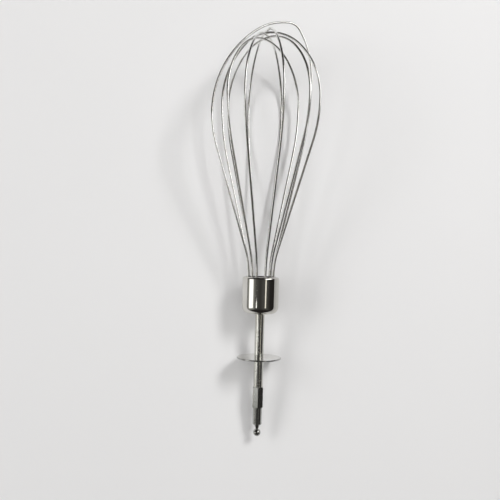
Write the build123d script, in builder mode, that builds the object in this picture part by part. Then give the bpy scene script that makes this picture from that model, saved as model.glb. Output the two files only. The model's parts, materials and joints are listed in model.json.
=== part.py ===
from build123d import *

import os
from dataclasses import dataclass
from math import atan2, cos, degrees, hypot, radians, sin

# Whisk attachment for a hand blender: six bent wire loops held in a ferrule, a drive shaft and a stop disc.
# It is modelled upright. Z runs along the shaft towards the crown of the loops, and Z = 0 is the mouth of the
# ferrule. X is the side that faces up and Y the side to the right once the whisk lies down. At the end it is
# laid on the rim of its disc and its two lowest wires, as it comes to rest on a table.

# Driving dimensions, in millimetres and degrees

# Wire and the common form of the loops
wire_diameter = 1.2
wire_ring_radius = 6.6
flare_height = 0.5
flare_radius = 45.0
flank_lean = 3.2
balloon_radius = 28.0
widest_height = 91.0
crown_rise = 30.3
crown_gap = 0.1
shoulder_turn = 45.0

# The two legs that the whisk rests on are alike: their turn and their share of the balloon's radius
resting_turn = 19.7
resting_reach = 0.957

# Ferrule
ferrule_radius = 9.4
ferrule_depth = 18.95
ferrule_wall = 0.6
ferrule_corner = 3.6
lip_round = 1.2
lip_flat = 0.3

# Holder inside the ferrule
holder_recess = 2.0
wire_seat = 8.0
shaft_seat = 9.0

# Drive shaft, along its length from the bottom of the ferrule
shaft_diameter = 4.8
shaft_length = 37.55
drive_length = 10.5
drive_flats = 5.2
drive_chamfer = 0.35
spigot_diameter = 4.6
spigot_length = 8.8
spigot_chamfer = 0.3
neck_length = 2.2
neck_root_diameter = 3.0
neck_diameter = 1.5
ball_diameter = 3.8

# Stop disc
disc_radius = 11.35
disc_thickness = 0.8
disc_edge = 0.25
disc_drop = 22.25

# Clearances of the seats
press_clearance = 0.02
wire_clearance = 0.03
end_gap = 0.1


@dataclass
class Leg:
    """One side of a loop, bent by hand: its reach as a share of the balloon's radius, the lift of its widest
    place as a share of the widest height, and the turn of its shoulder."""

    reach: float
    lift: float = 0.0
    shoulder: float = shoulder_turn


@dataclass
class WireLoop:
    """Loop in a plane through the axis: turn of its upper leg from X towards Y, shift of its crown towards
    that leg as a share of the balloon's radius, and how far the crown is raised as a share of its rise."""

    turn: float
    upper: Leg
    lower: Leg
    shift: float
    raised: float = 0.0


# The loops from the innermost crown to the outermost. The last one is bent: pulled up and to one side.
wire_loops = [
    WireLoop(-43.0, Leg(0.975), Leg(0.946), shift=0.068),
    WireLoop(47.0, Leg(1.036), Leg(0.975), shift=0.032),
    WireLoop(-resting_turn, Leg(1.061), Leg(resting_reach), shift=-0.018),
    WireLoop(74.0, Leg(1.014), Leg(0.839), shift=0.018),
    WireLoop(resting_turn, Leg(0.904), Leg(resting_reach), shift=-0.018),
    WireLoop(-73.0, Leg(1.0, -0.097, 55.0), Leg(0.889, 0.144, 32.5), shift=-0.421, raised=0.129),
]

# The shoulder and the crown bend of a leg make this turn together
quarter_turn = 90.0

# Sizes that follow from the driving dimensions
wire_radius = wire_diameter / 2
wire_hole_radius = wire_radius + wire_clearance
crown_step = wire_diameter + crown_gap
wire_bottom = end_gap - holder_recess - wire_seat
shaft_radius = shaft_diameter / 2
shaft_hole_radius = shaft_radius + press_clearance
spigot_radius = spigot_diameter / 2
ball_radius = ball_diameter / 2
holder_radius = ferrule_radius - ferrule_wall - press_clearance

# Stations along the axis
ferrule_bottom = -ferrule_depth
holder_bottom = ferrule_bottom + ferrule_wall + press_clearance
shaft_top = holder_bottom + shaft_seat
disc_bottom = ferrule_bottom - disc_drop - disc_thickness
drive_top = ferrule_bottom - shaft_length
drive_bottom = drive_top - drive_length
spigot_bottom = drive_bottom - spigot_length
ball_center = spigot_bottom - neck_length - ball_radius


def flank_of(leg):
    """Angle and length of a leg's straight flank, and the radius of the belly bend that follows it."""
    rise = widest_height * (1 + leg.lift) - flare_height
    spread = leg.reach * balloon_radius - wire_ring_radius
    angle = atan2(spread, rise) + radians(flank_lean)
    shrink = 1 - cos(angle)
    bends = (rise * sin(angle) - spread * cos(angle)) / shrink
    length = (spread * sin(angle) - rise * shrink) / shrink
    return degrees(angle), length, bends - flare_radius


def leg_runs(leg, crown, shift):
    """Runs of a leg from its seat to the crown: a length with no turn, or the radius and turn of a bend."""
    flank_angle, flank_length, belly_radius = flank_of(leg)
    across = (leg.reach - shift) * balloon_radius
    above = crown - widest_height * (1 + leg.lift)
    c, s = cos(radians(leg.shoulder)), sin(radians(leg.shoulder))
    shoulder_radius = (above * c - across * (1 - s)) / (c + s - 1)
    crown_radius = (across * s - above * (1 - c)) / (c + s - 1)
    return [
        (flare_height - wire_bottom, 0),
        (flare_radius, -flank_angle),
        (flank_length, 0),
        (belly_radius, flank_angle),
        (shoulder_radius, leg.shoulder),
        (crown_radius, quarter_turn - leg.shoulder),
    ]


def bend_loop(loop, level):
    """One wire bent from seat to seat in the plane of its loop."""
    crown = widest_height + crown_rise * (1 + loop.raised) + level * crown_step
    runs = leg_runs(loop.upper, crown, loop.shift) + leg_runs(loop.lower, crown, -loop.shift)[::-1]
    with BuildPart() as wire:
        with BuildLine(Plane.XZ.rotated((0, 0, loop.turn))) as path:
            start = Line((wire_ring_radius, wire_bottom), (wire_ring_radius, flare_height))
            for size, turn in runs[1:]:
                end, heading = path.line @ 1, path.line % 1
                if turn:
                    JernArc(end, heading, size, turn)
                else:
                    Line(end, end + heading * size)
        with BuildSketch(Plane(origin=start @ 0, z_dir=start % 0)):
            Circle(wire_radius)
        sweep()
    return wire


# Ferrule: a drawn cup with a hole for the shaft and a lip turned in over the holder
with BuildPart() as ferrule:
    with BuildSketch(Plane.XZ):
        with BuildLine() as skin:
            Polyline(
                (shaft_hole_radius, ferrule_bottom),
                (ferrule_radius, ferrule_bottom),
                (ferrule_radius, 0),
                (ferrule_radius - lip_round - lip_flat, 0),
            )
            fillet(skin.vertices().group_by(Axis.X)[-1].sort_by(Axis.Y)[0], ferrule_corner)
            fillet(skin.vertices().group_by(Axis.X)[-1].sort_by(Axis.Y)[-1], lip_round)
            offset(amount=ferrule_wall, side=Side.LEFT)
        make_face()
    revolve(axis=Axis.Z)

# Holder: plug in the ferrule that seats the wire ends from above and the shaft from below
with BuildPart() as wire_holder:
    with BuildSketch(Plane.XY.offset(holder_bottom)):
        Circle(holder_radius)
    extrude(amount=-holder_recess - holder_bottom)
    fillet(wire_holder.edges().sort_by(Axis.Z)[0], ferrule_corner - ferrule_wall - press_clearance)
    with Locations((0, 0, -holder_recess)):
        for loop in wire_loops:
            with PolarLocations(wire_ring_radius, 2, start_angle=loop.turn):
                Hole(wire_hole_radius, depth=wire_seat)
    with BuildSketch(Plane.XY.offset(holder_bottom)):
        Circle(shaft_hole_radius)
    extrude(amount=shaft_seat + end_gap, mode=Mode.SUBTRACT)

# Hexagon of the drive section, its ends turned down by a chamfer
with BuildPart() as drive_hexagon:
    with BuildSketch(Plane.XY.offset(drive_bottom)):
        corners = RegularPolygon(drive_flats / 2, 6, major_radius=False)
    extrude(amount=drive_length)
    chamfer_line = [
        (0, drive_bottom),
        (drive_flats / 2, drive_bottom),
        (corners.radius, drive_bottom + drive_chamfer),
        (corners.radius, drive_top - drive_chamfer),
        (drive_flats / 2, drive_top),
        (0, drive_top),
    ]
    with BuildSketch(Plane.XZ):
        with BuildLine():
            Polyline(*chamfer_line, close=True)
        make_face()
    revolve(axis=Axis.Z, mode=Mode.INTERSECT)

# Drive shaft: one turned rod with its drive section, spigot, neck and ball
with BuildPart() as drive_shaft:
    rod_line = [
        (0, shaft_top),
        (shaft_radius, shaft_top),
        (shaft_radius, drive_bottom),
        (spigot_radius, drive_bottom),
        (spigot_radius, spigot_bottom + spigot_chamfer),
        (spigot_radius - spigot_chamfer, spigot_bottom),
        (neck_root_diameter / 2, spigot_bottom),
        (neck_diameter / 2, spigot_bottom - neck_length),
        (neck_diameter / 2, ball_center),
        (0, ball_center),
    ]
    with BuildSketch(Plane.XZ):
        with BuildLine():
            Polyline(*rod_line, close=True)
        make_face()
    revolve(axis=Axis.Z)
    add(drive_hexagon.part)
    with Locations((0, 0, ball_center)):
        Sphere(ball_radius)

# Stop disc on the shaft
with BuildPart() as stop_disc:
    with BuildSketch(Plane.XY.offset(disc_bottom)):
        Circle(disc_radius)
        Circle(shaft_hole_radius, mode=Mode.SUBTRACT)
    extrude(amount=disc_thickness)
    fillet(stop_disc.edges().filter_by(GeomType.CIRCLE).group_by(SortBy.RADIUS)[-1], disc_edge)

# Wire loops
pieces = {
    "drive_shaft": drive_shaft,
    "stop_disc": stop_disc,
    "ferrule": ferrule,
    "wire_holder": wire_holder,
}
for level, loop in enumerate(wire_loops):
    pieces[f"wire_loop_{level + 1}"] = bend_loop(loop, level)


def axis_height_on_disc(tilt):
    """Height of the ferrule mouth's centre over the table when the rim of the disc stands on it."""
    return (disc_radius - disc_edge) * cos(tilt) - (disc_bottom + disc_edge) * sin(tilt) + disc_edge


def axis_height_on_wires(tilt):
    """Height of the same point when the belly bends of the two resting legs stand on the table."""
    belly_radius = flank_of(Leg(resting_reach))[2]
    slope = cos(radians(resting_turn)) * cos(tilt)
    inset = resting_reach * balloon_radius - belly_radius
    lowest_bend = inset * slope + belly_radius * hypot(slope, sin(tilt))
    return lowest_bend - widest_height * sin(tilt) + wire_radius


# The tilt at which the disc and the wires stand on the table together, found by halving a range of tilts
low_tilt, high_tilt = radians(-60), radians(60)
for _ in range(50):
    rest_tilt = (low_tilt + high_tilt) / 2
    if axis_height_on_wires(rest_tilt) > axis_height_on_disc(rest_tilt):
        low_tilt = rest_tilt
    else:
        high_tilt = rest_tilt

# Lay the whisk down, crown towards +Y, with the origin on the table under the middle of the whole part
lying = Plane(
    origin=(0, 0, 0),
    x_dir=(0, -sin(rest_tilt), cos(rest_tilt)),
    z_dir=(0, cos(rest_tilt), sin(rest_tilt)),
)
laid_pieces = {name: piece.part.moved(lying.location) for name, piece in pieces.items()}
whole = Compound(children=[piece.moved(Location()) for piece in laid_pieces.values()]).bounding_box()
to_origin = Location((-whole.center().X, -whole.center().Y, -whole.min.Z))

os.makedirs("parts", exist_ok=True)
for name, piece in laid_pieces.items():
    placed = piece.moved(to_origin)
    placed.label = name
    export_step(placed, f"parts/{name}.step")
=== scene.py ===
import json
import math

import bmesh
import bpy
from bpy.props import FloatProperty, FloatVectorProperty, PointerProperty
from mathutils import Matrix, Vector


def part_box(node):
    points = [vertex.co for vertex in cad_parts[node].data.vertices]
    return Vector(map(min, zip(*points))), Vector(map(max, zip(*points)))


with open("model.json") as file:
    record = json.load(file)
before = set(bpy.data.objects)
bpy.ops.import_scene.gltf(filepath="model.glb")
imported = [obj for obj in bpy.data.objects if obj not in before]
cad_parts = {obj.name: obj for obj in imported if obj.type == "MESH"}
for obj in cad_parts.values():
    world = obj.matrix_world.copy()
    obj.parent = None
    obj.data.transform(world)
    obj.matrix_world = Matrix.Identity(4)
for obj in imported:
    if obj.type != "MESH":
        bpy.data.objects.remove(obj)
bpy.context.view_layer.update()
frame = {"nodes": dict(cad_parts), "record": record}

bl_info = {
    "name": "Whisk Attachment",
    "version": (1, 0, 0),
    "blender": (4, 5, 0),
    "location": "View3D > Sidebar > Whisk",
    "description": "Finishes of a hand blender's whisk attachment, and the table and light around it",
    "category": "Object",
}

MILLIMETRE = 0.001
WIRE_NODES = sorted(name for name in frame["nodes"] if name.startswith("wire_loop"))
MOUNTS = {mount["name"]: mount for mount in frame["record"]["mounts"]}

# The shaft's axis from the ball tip to the crown, and the middle of the spigot on it
SPIGOT = MOUNTS["drive_spigot"]
SHAFT_AXIS = -Vector(SPIGOT["axis"]).normalized()
SHAFT_POINT = Vector(SPIGOT["pos_m"])
SHAFT_TILT = math.asin(SHAFT_AXIS.z)

# Distance from there to the far end of the hexagon, which starts where the spigot ends
HEXAGON_MIDDLE = (Vector(MOUNTS["drive_hexagon"]["pos_m"]) - SHAFT_POINT).length
SPIGOT_HALF = SPIGOT["dims"]["length_mm"] * MILLIMETRE / 2
HEXAGON_END = 2 * HEXAGON_MIDDLE - SPIGOT_HALF

# Radius of the disc, and width of the painted shade along its edge
DISC_LOW, DISC_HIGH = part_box("stop_disc")
DISC_RADIUS = (DISC_HIGH.x - DISC_LOW.x) / 2
DISC_EDGE_SHADE = 0.25 * MILLIMETRE

# Axes of patterns and lamps
ALONG_SHAFT = (0.0, 1.0, 0.0)
OUT_FROM_SHAFT = (1.0, 0.0, 1.0)
UPRIGHT = (0.0, 0.0, 1.0)

# Working lines: scale of the broad ones beside the fine ones, and share of the fine ones in the height
BROAD_LINES = 0.22
FINE_SHARE = 0.65

# Hair scratches: stretch of their cells, scale of their bends and reach in metres, scale of their patches
SCRATCH_STRETCH = (1.0, 0.3, 1.0)
BEND_SCALE = 45.0
BEND_REACH = 0.004
SCRATCH_PATCHES = 120.0

# Film of handling: how far its patches are drawn out, and scale of the specks in it
FILM_DISTORTION = 0.6
SPECK_SCALE = 1400.0

# What each mark adds to the tarnish, to the roughness and to the height of the steel
STREAK_TINT = 0.35
FILM_DULLING = 0.09
SPECK_DULLING = 0.12
SCRATCH_DULLING = 0.18
STREAK_DULLING = 0.05
SCRATCH_DEPTH = 0.8

# Width in metres over which one colour of the steel gives way to another
COLOR_CHANGE = 0.0001

# Moulded plug: paleness and scale of its dust, roughness where it is clean and dusty, and its grain
DUST_PALENESS = 2.2
DUST_PATCHES = 240.0
MOULDED_ROUGHNESS = (0.48, 0.7)
GRAIN_SCALE = 2200.0
GRAIN_DEPTH = 0.00003

# Table: brightness and scale of its mottling, and its polish
MOTTLE_BRIGHTNESS = 0.97
MOTTLE_SCALE = 9.0
TABLE_ROUGHNESS = 0.75
TABLE_SPECULAR = 0.25

# Painted shade on the table as the steel mirrors it, as shares of its reach: softness of its ends, and where
# the right side darkens
END_SOFTNESS = 0.05
SHADE_START = 0.1
SHADE_FULL = 0.3

# Room in the steel: the X or Y of a direction, and the share of the wall's colour there
ROOM_SIDEWAYS = (
    (-0.7, 1.0), (-0.5, 0.28), (0.0, 0.05), (0.25, 0.2), (0.62, 0.28), (0.75, 0.14), (0.9, 0.0))
ROOM_LENGTHWISE = ((-0.75, 0.0), (-0.4, 1.0), (0.05, 1.0), (0.2, 0.1))

# Point that the lamps face, in metres, and the camera's sensor in millimetres and nearest view in metres
LIT_POINT = Vector((0.0, -0.02, 0.02))
SENSOR_WIDTH = 36.0
NEAREST_VIEW = 0.01


class WhiskSteel(bpy.types.PropertyGroup):
    """Colours and polish of the metal and of the plug in the ferrule."""

    wire_color: FloatVectorProperty(
        name="Wire", description="Colour of the bright drawn wire",
        subtype="COLOR", min=0.0, max=1.0, default=(0.87, 0.87, 0.86))
    wire_roughness: FloatProperty(
        name="Wire roughness", description="Polish of the wire",
        subtype="FACTOR", min=0.0, max=1.0, default=0.1)
    ferrule_color: FloatVectorProperty(
        name="Ferrule", description="Colour of the drawn and polished ferrule",
        subtype="COLOR", min=0.0, max=1.0, default=(0.70, 0.69, 0.66))
    ferrule_roughness: FloatProperty(
        name="Ferrule roughness", description="Polish of the ferrule",
        subtype="FACTOR", min=0.0, max=1.0, default=0.04)
    shaft_color: FloatVectorProperty(
        name="Shaft", description="Colour of the turned shaft",
        subtype="COLOR", min=0.0, max=1.0, default=(0.66, 0.66, 0.62))
    shaft_roughness: FloatProperty(
        name="Shaft roughness", description="Polish of the shaft",
        subtype="FACTOR", min=0.0, max=1.0, default=0.14)
    # Painted shade: the hexagon, spigot and ball are painted darker than the shaft, so that they mirror less
    # light
    drive_end_shade_color: FloatVectorProperty(
        name="Drive end", description="Colour of the hexagon, spigot and ball, which the coupling has worn",
        subtype="COLOR", min=0.0, max=1.0, default=(0.42, 0.42, 0.40))
    drive_end_shade_length: FloatProperty(
        name="Drive end length", description="Length from the spigot over which the shaft is worn",
        unit="LENGTH", min=0.0, default=HEXAGON_END + COLOR_CHANGE / 2)
    disc_color: FloatVectorProperty(
        name="Disc", description="Colour of the stamped stop disc",
        subtype="COLOR", min=0.0, max=1.0, default=(0.78, 0.78, 0.76))
    disc_roughness: FloatProperty(
        name="Disc roughness", description="Polish of the disc",
        subtype="FACTOR", min=0.0, max=1.0, default=0.16)
    # Painted shade: the disc's rim is painted darker than its faces
    disc_edge_shade_color: FloatVectorProperty(
        name="Disc edge", description="Colour of the disc's sheared edge",
        subtype="COLOR", min=0.0, max=1.0, default=(0.46, 0.46, 0.45))
    disc_edge_shade_start: FloatProperty(
        name="Disc edge start", description="Distance from the axis at which the disc's sheared edge begins",
        unit="LENGTH", min=0.0, default=DISC_RADIUS - DISC_EDGE_SHADE)
    tarnish_color: FloatVectorProperty(
        name="Tarnish", description="Warm tint of handled and heated steel",
        subtype="COLOR", min=0.0, max=1.0, default=(0.46, 0.42, 0.35))
    holder_color: FloatVectorProperty(
        name="Holder", description="Colour of the moulded plug in the ferrule",
        subtype="COLOR", min=0.0, max=1.0, default=(0.045, 0.045, 0.045))


class WhiskStage(bpy.types.PropertyGroup):
    """Table, light and camera around the whisk."""

    table_color: FloatVectorProperty(
        name="Table", description="Colour of the pale table and of the background",
        subtype="COLOR", min=0.0, max=1.0, default=(0.79, 0.785, 0.785))
    wall_color: FloatVectorProperty(
        name="Wall", description="Colour of the room where it is brightest, on the left",
        subtype="COLOR", min=0.0, max=1.0, default=(0.30, 0.30, 0.28))
    corner_color: FloatVectorProperty(
        name="Dark corner",
        description="Colour of the room's dark parts, and of the table's ends in the steel",
        subtype="COLOR", min=0.0, max=1.0, default=(0.024, 0.021, 0.020))
    table_size: FloatProperty(
        name="Table size", description="Side of the table", unit="LENGTH", min=0.5, default=6.0)
    mirrored_left: FloatProperty(
        name="Mirrored left", description="Reach of the table to the left that the steel shows",
        unit="LENGTH", min=0.1, max=0.9, default=0.45)
    mirrored_right: FloatProperty(
        name="Mirrored right", description="Reach of the table to the right that the steel shows",
        unit="LENGTH", min=0.1, max=0.9, default=0.21)
    mirrored_shade: FloatProperty(
        name="Mirrored shade", description="How much darker the steel shows the right side of the table",
        subtype="FACTOR", min=0.0, max=1.0, default=0.32)
    fade_start: FloatProperty(
        name="Fade start", description="Distance at which the table begins to fade into the background",
        unit="LENGTH", min=0.0, default=0.25)
    fade_end: FloatProperty(
        name="Fade end", description="Distance at which the table is one with the background",
        unit="LENGTH", min=0.0, default=0.9)
    key_power: FloatProperty(
        name="Key light", description="Power of the lamp at the upper right, which casts the main shadow",
        unit="POWER", min=0.0, default=4.9)
    wall_power: FloatProperty(
        name="Bright wall",
        description="Power of the bright wall at the upper right, which only the steel shows",
        unit="POWER", min=0.0, default=7.9)
    fill_power: FloatProperty(
        name="Fill light", description="Power of the wide soft light over the table",
        unit="POWER", min=0.0, default=21.0)
    window_power: FloatProperty(
        name="Side window", description="Power of the wide window on the left, which the steel mirrors",
        unit="POWER", min=0.0, default=2.15)
    side_power: FloatProperty(
        name="Side light", description="Power of the light through the window, which casts the weak shadow",
        unit="POWER", min=0.0, default=7.0)
    strip_power: FloatProperty(
        name="Strip light", description="Power of the narrow light that draws a line on the steel",
        unit="POWER", min=0.0, default=0.37)
    strip_color: FloatVectorProperty(
        name="Strip colour", description="Warm colour of the narrow light",
        subtype="COLOR", min=0.0, max=1.0, default=(1.0, 0.95, 0.85))
    ceiling_power: FloatProperty(
        name="Ceiling lamp", description="Power of the small lamp that only the steel shows",
        unit="POWER", min=0.0, default=0.1)
    camera_place: FloatVectorProperty(
        name="Camera", description="Place of the camera over the table",
        subtype="TRANSLATION", unit="LENGTH", default=(-0.003378, -0.049998, 0.35495))
    camera_pitch: FloatProperty(
        name="Pitch", description="Lean of the view from straight down towards the crown",
        subtype="ANGLE", default=math.radians(6.446))
    camera_side: FloatProperty(
        name="Side", description="Lean of the view to the right",
        subtype="ANGLE", default=math.radians(-0.477))
    camera_roll: FloatProperty(
        name="Roll", description="Turn of the picture", subtype="ANGLE", default=math.radians(1.563))
    camera_lens: FloatProperty(
        name="Lens", description="Focal length of the camera, in millimetres",
        min=10.0, default=47.65)


# Shader node helpers

def feed(tree, socket, value):
    """Links an input to another node's output, or sets it to a constant."""
    if isinstance(value, bpy.types.NodeSocket):
        tree.links.new(value, socket)
    else:
        socket.default_value = value


def add_node(tree, kind, **sockets):
    """A new node with outputs or constants on its named inputs, where _ stands for a space."""
    node = tree.nodes.new(kind)
    for name, value in sockets.items():
        feed(tree, node.inputs[name.replace("_", " ")], value)
    return node


def math_node(tree, operation, first, second):
    """The result of a Math node on two outputs or numbers."""
    node = tree.nodes.new("ShaderNodeMath")
    node.operation = operation
    feed(tree, node.inputs[0], first)
    feed(tree, node.inputs[1], second)
    return node.outputs[0]


def vector_math(tree, operation, *vectors):
    """The outputs of a Vector Math node on outputs or constant vectors."""
    node = tree.nodes.new("ShaderNodeVectorMath")
    node.operation = operation
    for socket, vector in zip(node.inputs, vectors):
        feed(tree, socket, vector)
    return node.outputs


def weighted_sum(tree, *terms):
    """The sum of outputs, each times a number of its own."""
    parts = [math_node(tree, "MULTIPLY", output, weight) for output, weight in terms]
    total = parts[0]
    for part in parts[1:]:
        total = math_node(tree, "ADD", total, part)
    return total


def remap(tree, value, low, high, to_low=0.0, to_high=1.0):
    """A value taken from the range low to high to another range, and kept within it."""
    node = add_node(
        tree, "ShaderNodeMapRange", Value=value, From_Min=low, From_Max=high, To_Min=to_low, To_Max=to_high)
    node.clamp = True
    return node.outputs["Result"]


def ramp(tree, value, stops):
    """The share that a value from -1 to 1 gets from stops, each a value and a share."""
    node = add_node(tree, "ShaderNodeValToRGB", Fac=remap(tree, value, -1.0, 1.0))
    elements = node.color_ramp.elements
    elements.remove(elements[1])
    for index, (place, share) in enumerate(stops):
        stop = elements.new((place + 1.0) / 2) if index else elements[0]
        stop.position = (place + 1.0) / 2
        stop.color = (share, share, share, 1.0)
    return node.outputs["Color"]


def noise(tree, vector, scale, detail, distortion=0.0):
    """The grey output of a noise texture on a vector."""
    node = add_node(
        tree, "ShaderNodeTexNoise", Vector=vector, Scale=scale, Detail=detail, Distortion=distortion)
    return node.outputs[0]


def mix_colors(tree, first, second, share):
    """A colour between two outputs or constant colours, by the share of the second."""
    node = tree.nodes.new("ShaderNodeMix")
    node.data_type = "RGBA"
    for name, color in (("A", first), ("B", second)):
        linked = isinstance(color, bpy.types.NodeSocket)
        feed(tree, node.inputs[name], color if linked else (*color, 1.0))
    feed(tree, node.inputs["Factor"], share)
    return node.outputs["Result"]


def add_bump(tree, shader, height, depth):
    """Raises a shader's surface by a height times a depth in metres."""
    bump = add_node(tree, "ShaderNodeBump", Strength=1.0, Distance=depth, Height=height)
    feed(tree, shader.inputs["Normal"], bump.outputs["Normal"])


# Marks that the steel and the plug share, each a node group

def group_tree(name, numbers, outputs):
    """A node group on a vector and some numbers with their defaults, and its two ends.

    A group that is already there comes without its ends.
    """
    found = bpy.data.node_groups.get(name)
    if found:
        return found, None, None
    tree = bpy.data.node_groups.new(name, "ShaderNodeTree")
    tree.interface.new_socket("Vector", in_out="INPUT", socket_type="NodeSocketVector")
    for socket, value in numbers.items():
        number = tree.interface.new_socket(socket, in_out="INPUT", socket_type="NodeSocketFloat")
        number.default_value = value
    for socket in outputs:
        tree.interface.new_socket(socket, in_out="OUTPUT", socket_type="NodeSocketFloat")
    return tree, tree.nodes.new("NodeGroupInput").outputs, tree.nodes.new("NodeGroupOutput").inputs


def group_node(tree, group, vector, **numbers):
    """The outputs of a node group placed in a material, on a vector and with its own numbers."""
    node = tree.nodes.new("ShaderNodeGroup")
    node.node_tree = group
    feed(tree, node.inputs["Vector"], vector)
    for name, value in numbers.items():
        feed(tree, node.inputs[name], value)
    return node.outputs


def working_lines_group():
    """Fine lines that drawing or turning leaves: noise on a vector that is stretched along the lines."""
    tree, given, made = group_tree("Working Lines", {}, ["Height", "Streaks"])
    if given:
        fine = noise(tree, given["Vector"], scale=1.0, detail=4.0)
        broad = noise(tree, given["Vector"], BROAD_LINES, detail=2.0)
        both = weighted_sum(tree, (fine, FINE_SHARE), (broad, 1.0 - FINE_SHARE))
        feed(tree, made["Height"], both)
        feed(tree, made["Streaks"], remap(tree, broad, low=0.35, high=0.68))
    return tree


def scratches_group():
    """Sparse hair scratches: thin edges of stretched cells, broken up by patches."""
    tree, given, made = group_tree("Hair Scratches", {"Cells": 260.0, "Width": 0.012}, ["Mask"])
    if given:
        bend = add_node(tree, "ShaderNodeTexNoise", Vector=given["Vector"], Scale=BEND_SCALE, Detail=1.0)
        bent = vector_math(tree, "MULTIPLY_ADD", bend.outputs["Color"], (BEND_REACH,) * 3, given["Vector"])
        cells = tree.nodes.new("ShaderNodeTexVoronoi")
        cells.feature = "DISTANCE_TO_EDGE"
        feed(tree, cells.inputs["Vector"], bent["Vector"])
        feed(tree, cells.inputs["Scale"], given["Cells"])
        share = math_node(tree, "DIVIDE", cells.outputs["Distance"], given["Width"])
        line = remap(tree, share, 0.0, 1.0, to_low=1.0, to_high=0.0)
        patches = remap(tree, noise(tree, given["Vector"], SCRATCH_PATCHES, detail=2.0), low=0.52, high=0.62)
        feed(tree, made["Mask"], math_node(tree, "MULTIPLY", line, patches))
    return tree


def handling_group():
    """Dull film and finger smudges that handling and washing leave, in soft patches with finer specks."""
    tree, given, made = group_tree("Handling Film", {"Patches": 90.0}, ["Film", "Specks"])
    if given:
        patches = noise(tree, given["Vector"], given["Patches"], detail=4.0, distortion=FILM_DISTORTION)
        feed(tree, made["Film"], remap(tree, patches, low=0.42, high=0.74))
        specks = noise(tree, given["Vector"], SPECK_SCALE, detail=2.0)
        feed(tree, made["Specks"], remap(tree, specks, low=0.66, high=0.76))
    return tree


# Materials of the whisk

def new_material(name):
    """A material with its node tree, its Principled BSDF and its Object coordinates."""
    material = bpy.data.materials.new(name)
    material.use_nodes = True
    tree = material.node_tree
    tree.nodes.clear()
    shader = tree.nodes.new("ShaderNodeBsdfPrincipled")
    add_node(tree, "ShaderNodeOutputMaterial", Surface=shader.outputs["BSDF"])
    coordinates = tree.nodes.new("ShaderNodeTexCoord").outputs["Object"]
    return material, tree, shader, coordinates


def shaft_coordinates(tree, coordinates, scale=(1.0, 1.0, 1.0)):
    """Coordinates turned so that Y runs along the shaft from the spigot, then scaled for each axis."""
    centred = vector_math(tree, "SUBTRACT", coordinates, SHAFT_POINT)["Vector"]
    turned = add_node(tree, "ShaderNodeMapping", Vector=centred, Rotation=(-SHAFT_TILT, 0.0, 0.0))
    scaled = add_node(tree, "ShaderNodeMapping", Vector=turned.outputs["Vector"], Scale=scale)
    return scaled.outputs["Vector"]


def steel_material(
        name, color, tarnish, roughness, *, dulling, line_scale, line_depth, tarnish_share, scratch_cells):
    """Bright stainless steel with its working lines, hair scratches and the film of handling."""
    material, tree, shader, coordinates = new_material(name)
    lines = group_node(tree, working_lines_group(), shaft_coordinates(tree, coordinates, line_scale))
    scratches = group_node(
        tree, scratches_group(), shaft_coordinates(tree, coordinates, SCRATCH_STRETCH), Cells=scratch_cells)
    film = group_node(tree, handling_group(), shaft_coordinates(tree, coordinates))

    streaked = math_node(tree, "MULTIPLY", lines["Streaks"], STREAK_TINT)
    tarnished = math_node(tree, "ADD", streaked, film["Film"])
    share = math_node(tree, "MULTIPLY", tarnished, tarnish_share)
    feed(tree, shader.inputs["Base Color"], mix_colors(tree, color, tarnish, share))

    marks = weighted_sum(
        tree, (film["Film"], FILM_DULLING), (film["Specks"], SPECK_DULLING),
        (scratches["Mask"], SCRATCH_DULLING), (lines["Streaks"], STREAK_DULLING))
    dulled = math_node(tree, "MULTIPLY", marks, dulling)
    feed(tree, shader.inputs["Roughness"], math_node(tree, "ADD", dulled, roughness))

    scratched = math_node(tree, "MULTIPLY", scratches["Mask"], SCRATCH_DEPTH)
    add_bump(tree, shader, math_node(tree, "SUBTRACT", lines["Height"], scratched), line_depth)
    shader.inputs["Metallic"].default_value = 1.0
    return material


def change_color(material, kept_axes, limit, color, near):
    """Another colour on a steel, nearer to the spigot than a limit along the kept axes, or past it."""
    tree = material.node_tree
    coordinates = tree.nodes["Texture Coordinate"].outputs["Object"]
    distance = vector_math(tree, "LENGTH", shaft_coordinates(tree, coordinates, kept_axes))["Value"]
    shares = (1.0, 0.0) if near else (0.0, 1.0)
    mask = remap(tree, distance, limit, limit + COLOR_CHANGE, *shares)
    base = tree.nodes["Principled BSDF"].inputs["Base Color"]
    feed(tree, base, mix_colors(tree, base.links[0].from_socket, color, mask))


def finish_node(name, material):
    """Gives a CAD node its finish."""
    piece = frame["nodes"][name]
    piece.data.materials.clear()
    piece.data.materials.append(material)


class WHISK_OT_finish_wires(bpy.types.Operator):
    """Bright drawn wire, with lines along its length, on every loop"""

    bl_idname = "whisk.finish_wires"
    bl_label = "Finish Wire Loops"

    def execute(self, context):
        steel = context.scene.whisk_steel
        drawn = steel_material(
            "Drawn wire", steel.wire_color, steel.tarnish_color, steel.wire_roughness,
            dulling=1.0, line_scale=(5200.0, 130.0, 5200.0), line_depth=0.000004, tarnish_share=0.35,
            scratch_cells=700.0)
        for name in WIRE_NODES:
            finish_node(name, drawn)
        return {"FINISHED"}


class WHISK_OT_finish_ferrule(bpy.types.Operator):
    """Polished steel, with faint lines along the draw, on the ferrule"""

    bl_idname = "whisk.finish_ferrule"
    bl_label = "Finish Ferrule"

    def execute(self, context):
        steel = context.scene.whisk_steel
        polished = steel_material(
            "Polished ferrule", steel.ferrule_color, steel.tarnish_color, steel.ferrule_roughness,
            dulling=0.3, line_scale=(2600.0, 60.0, 2600.0), line_depth=0.000002, tarnish_share=0.3,
            scratch_cells=260.0)
        finish_node("ferrule", polished)
        return {"FINISHED"}


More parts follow.
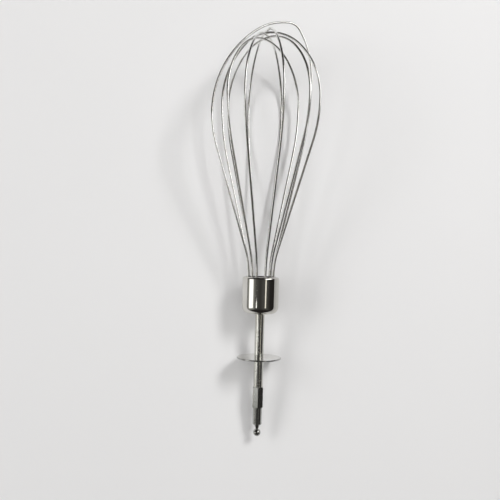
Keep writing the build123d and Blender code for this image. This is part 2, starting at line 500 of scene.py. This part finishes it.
class WHISK_OT_finish_shaft(bpy.types.Operator):
    """Turned steel, with rings from the tool and painted shade darkening its drive end, on the shaft"""

    bl_idname = "whisk.finish_shaft"
    bl_label = "Finish Drive Shaft"

    def execute(self, context):
        steel = context.scene.whisk_steel
        turned = steel_material(
            "Turned shaft", steel.shaft_color, steel.tarnish_color, steel.shaft_roughness,
            dulling=1.0, line_scale=(160.0, 5200.0, 160.0), line_depth=0.0000015, tarnish_share=0.45,
            scratch_cells=420.0)
        # Painted shade: a darker colour on the hexagon, spigot and ball
        change_color(turned, ALONG_SHAFT, steel.drive_end_shade_length, steel.drive_end_shade_color, near=True)
        finish_node("drive_shaft", turned)
        return {"FINISHED"}


class WHISK_OT_finish_disc(bpy.types.Operator):
    """Stamped and polished steel, with painted shade darkening its edge, on the stop disc"""

    bl_idname = "whisk.finish_disc"
    bl_label = "Finish Stop Disc"

    def execute(self, context):
        steel = context.scene.whisk_steel
        stamped = steel_material(
            "Stamped disc", steel.disc_color, steel.tarnish_color, steel.disc_roughness,
            dulling=0.5, line_scale=(2400.0, 300.0, 200.0), line_depth=0.000003, tarnish_share=0.25,
            scratch_cells=300.0)
        # Painted shade: a darker colour on the disc's rim
        change_color(stamped, OUT_FROM_SHAFT, steel.disc_edge_shade_start, steel.disc_edge_shade_color, near=False)
        finish_node("stop_disc", stamped)
        return {"FINISHED"}


class WHISK_OT_finish_holder(bpy.types.Operator):
    """Dark moulded plastic with a fine grain on the plug in the ferrule"""

    bl_idname = "whisk.finish_holder"
    bl_label = "Finish Wire Holder"

    def execute(self, context):
        clean = context.scene.whisk_steel.holder_color
        dusty = [channel * DUST_PALENESS for channel in clean]
        material, tree, shader, coordinates = new_material("Moulded holder")
        film = group_node(tree, handling_group(), coordinates, Patches=DUST_PATCHES)["Film"]
        feed(tree, shader.inputs["Base Color"], mix_colors(tree, clean, dusty, film))
        feed(tree, shader.inputs["Roughness"], remap(tree, film, 0.0, 1.0, *MOULDED_ROUGHNESS))
        add_bump(tree, shader, noise(tree, coordinates, GRAIN_SCALE, detail=3.0), GRAIN_DEPTH)
        finish_node("wire_holder", material)
        return {"FINISHED"}


# Table, light and camera

def fade_table(tree, shader, coordinates, stage):
    """Far from the whisk the camera sees the table's plain colour, which runs on into the background."""
    distance = vector_math(tree, "LENGTH", coordinates)["Value"]
    far = remap(tree, distance, stage.fade_start, stage.fade_end)
    seen = tree.nodes.new("ShaderNodeLightPath").outputs["Is Camera Ray"]
    plain = add_node(tree, "ShaderNodeEmission", Color=(*stage.table_color, 1.0))
    faded = add_node(tree, "ShaderNodeMixShader", Fac=math_node(tree, "MULTIPLY", far, seen))
    feed(tree, faded.inputs[1], shader.outputs["BSDF"])
    feed(tree, faded.inputs[2], plain.outputs["Emission"])
    feed(tree, tree.nodes["Material Output"].inputs["Surface"], faded.outputs["Shader"])


def table_material(stage):
    """Pale mottled table. Only in the steel, painted shade darkens its right side, and past both ends it is
    painted dark.
    """
    material, tree, shader, coordinates = new_material("Pale table")
    darker = [channel * MOTTLE_BRIGHTNESS for channel in stage.table_color]
    mottled = mix_colors(
        tree, stage.table_color, darker, noise(tree, coordinates, MOTTLE_SCALE, detail=3.0))

    sideways = add_node(tree, "ShaderNodeSeparateXYZ", Vector=coordinates).outputs["X"]
    left, right, shade = stage.mirrored_left, stage.mirrored_right, stage.mirrored_shade
    inner, outer = 1.0 - END_SOFTNESS, 1.0 + END_SOFTNESS
    # Painted shade, seen only in the steel: the right side darker, and past both ends the dark corner colour
    painted_shade = ramp(tree, sideways, (
        (-outer * left, 1.0), (-inner * left, 0.0), (SHADE_START * right, 0.0), (SHADE_FULL * right, shade),
        (inner * right, shade), (outer * right, 1.0)))
    in_steel = tree.nodes.new("ShaderNodeLightPath").outputs["Is Glossy Ray"]
    share = math_node(tree, "MULTIPLY", painted_shade, in_steel)
    feed(tree, shader.inputs["Base Color"], mix_colors(tree, mottled, stage.corner_color, share))

    shader.inputs["Roughness"].default_value = TABLE_ROUGHNESS
    shader.inputs["Specular IOR Level"].default_value = TABLE_SPECULAR
    fade_table(tree, shader, coordinates, stage)
    return material


def lay_table(scene, stage):
    """A flat square table under the whisk."""
    mesh = bpy.data.meshes.new("table")
    sheet = bmesh.new()
    bmesh.ops.create_grid(sheet, x_segments=1, y_segments=1, size=stage.table_size / 2)
    sheet.to_mesh(mesh)
    sheet.free()
    table = bpy.data.objects.new("table", mesh)
    scene.collection.objects.link(table)
    mesh.materials.append(table_material(stage))


def add_lamp(scene, name, power, *, direction, distance, width, length, along, lights, mirrored):
    """A rectangular lamp that faces the whisk. It lights the table, is mirrored in the steel, or both."""
    data = bpy.data.lights.new(name, "AREA")
    data.shape = "RECTANGLE"
    data.size = width
    data.size_y = length
    data.energy = power
    lamp = bpy.data.objects.new(name, data)
    scene.collection.objects.link(lamp)
    back = Vector(direction).normalized()
    across = Vector(along).cross(back).normalized()
    upward = back.cross(across)
    turn = Matrix((across, upward, back)).transposed().to_4x4()
    lamp.matrix_world = Matrix.Translation(LIT_POINT + back * distance) @ turn
    lamp.visible_camera = False
    lamp.visible_diffuse = lights
    lamp.visible_glossy = mirrored
    return lamp


def hang_lamps(scene, stage):
    """The lamps that light the table, and the bright things around it that the steel mirrors."""
    add_lamp(
        scene, "key_light", stage.key_power, direction=(0.68, 0.60, 1.0), distance=1.0,
        width=0.19, length=0.32, along=ALONG_SHAFT, lights=True, mirrored=False)
    add_lamp(
        scene, "bright_wall", stage.wall_power, direction=(0.72, 0.40, 0.56), distance=1.4,
        width=0.80, length=1.12, along=UPRIGHT, lights=False, mirrored=True)
    add_lamp(
        scene, "fill_light", stage.fill_power, direction=UPRIGHT, distance=2.0,
        width=2.4, length=2.4, along=ALONG_SHAFT, lights=True, mirrored=False)
    add_lamp(
        scene, "side_window", stage.window_power, direction=(-0.84, -0.083, 0.46), distance=1.5,
        width=0.655, length=0.765, along=UPRIGHT, lights=True, mirrored=True)
    add_lamp(
        scene, "side_light", stage.side_power, direction=(-0.78, 0.15, 0.59), distance=1.5,
        width=1.0, length=0.45, along=UPRIGHT, lights=True, mirrored=False)
    strip = add_lamp(
        scene, "strip_light", stage.strip_power, direction=(0.543, -0.028, 0.824), distance=1.2,
        width=0.145, length=0.68, along=ALONG_SHAFT, lights=True, mirrored=True)
    strip.data.color = stage.strip_color
    add_lamp(
        scene, "ceiling_lamp", stage.ceiling_power, direction=(-0.408, -0.246, 0.88), distance=1.2,
        width=0.10, length=0.12, along=ALONG_SHAFT, lights=False, mirrored=True)


def paint_room(scene, stage):
    """A dim room, brighter on the left, behind which the camera sees the table's colour."""
    world = bpy.data.worlds.new("room")
    world.use_nodes = True
    tree = world.node_tree
    tree.nodes.clear()
    direction = tree.nodes.new("ShaderNodeTexCoord").outputs["Generated"]
    parts = add_node(tree, "ShaderNodeSeparateXYZ", Vector=direction).outputs
    sideways = ramp(tree, parts["X"], ROOM_SIDEWAYS)
    lengthwise = ramp(tree, parts["Y"], ROOM_LENGTHWISE)
    room = mix_colors(
        tree, stage.corner_color, stage.wall_color, math_node(tree, "MULTIPLY", sideways, lengthwise))
    seen = tree.nodes.new("ShaderNodeLightPath").outputs["Is Camera Ray"]
    background = add_node(tree, "ShaderNodeBackground", Color=mix_colors(tree, room, stage.table_color, seen))
    add_node(tree, "ShaderNodeOutputWorld", Surface=background.outputs["Background"])
    scene.world = world


def place_camera(scene, stage):
    """The camera over the table, which looks down on the whisk."""
    pitch, side, roll = stage.camera_pitch, stage.camera_side, stage.camera_roll
    forward = Vector((
        math.sin(side), math.sin(pitch) * math.cos(side), -math.cos(pitch) * math.cos(side)))
    right = forward.cross(Vector((-math.sin(roll), math.cos(roll), 0.0))).normalized()
    upward = right.cross(forward)
    data = bpy.data.cameras.new("camera")
    data.sensor_width = SENSOR_WIDTH
    data.lens = stage.camera_lens
    data.clip_start = NEAREST_VIEW
    camera = bpy.data.objects.new("camera", data)
    scene.collection.objects.link(camera)
    turn = Matrix((right, upward, -forward)).transposed().to_4x4()
    camera.matrix_world = Matrix.Translation(Vector(stage.camera_place)) @ turn
    scene.camera = camera


class WHISK_OT_set_stage(bpy.types.Operator):
    """Pale table, room light and the camera that looks down on the whisk"""

    bl_idname = "whisk.set_stage"
    bl_label = "Set Stage"

    def execute(self, context):
        scene = context.scene
        stage = scene.whisk_stage
        lay_table(scene, stage)
        hang_lamps(scene, stage)
        paint_room(scene, stage)
        place_camera(scene, stage)
        scene.view_settings.view_transform = "Standard"
        return {"FINISHED"}


OPERATORS = (
    WHISK_OT_finish_wires,
    WHISK_OT_finish_ferrule,
    WHISK_OT_finish_shaft,
    WHISK_OT_finish_disc,
    WHISK_OT_finish_holder,
    WHISK_OT_set_stage,
)


class WHISK_PT_sidebar(bpy.types.Panel):
    """Steps and settings of the whisk in the sidebar"""

    bl_idname = "WHISK_PT_sidebar"
    bl_label = "Whisk Attachment"
    bl_space_type = "VIEW_3D"
    bl_region_type = "UI"
    bl_category = "Whisk"

    def draw(self, context):
        column = self.layout.column(align=True)
        for operator in OPERATORS:
            column.operator(operator.bl_idname)
        for settings in (context.scene.whisk_steel, context.scene.whisk_stage):
            box = self.layout.box()
            for name in settings.__annotations__:
                box.prop(settings, name)


CLASSES = (WhiskSteel, WhiskStage, *OPERATORS, WHISK_PT_sidebar)


def register():
    for cls in CLASSES:
        bpy.utils.register_class(cls)
    bpy.types.Scene.whisk_steel = PointerProperty(type=WhiskSteel)
    bpy.types.Scene.whisk_stage = PointerProperty(type=WhiskStage)


def unregister():
    del bpy.types.Scene.whisk_stage
    del bpy.types.Scene.whisk_steel
    for cls in reversed(CLASSES):
        bpy.utils.unregister_class(cls)


def main():
    """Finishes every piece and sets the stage."""
    register()
    bpy.ops.whisk.finish_wires()
    bpy.ops.whisk.finish_ferrule()
    bpy.ops.whisk.finish_shaft()
    bpy.ops.whisk.finish_disc()
    bpy.ops.whisk.finish_holder()
    bpy.ops.whisk.set_stage()


if __name__ == "__main__":
    main()
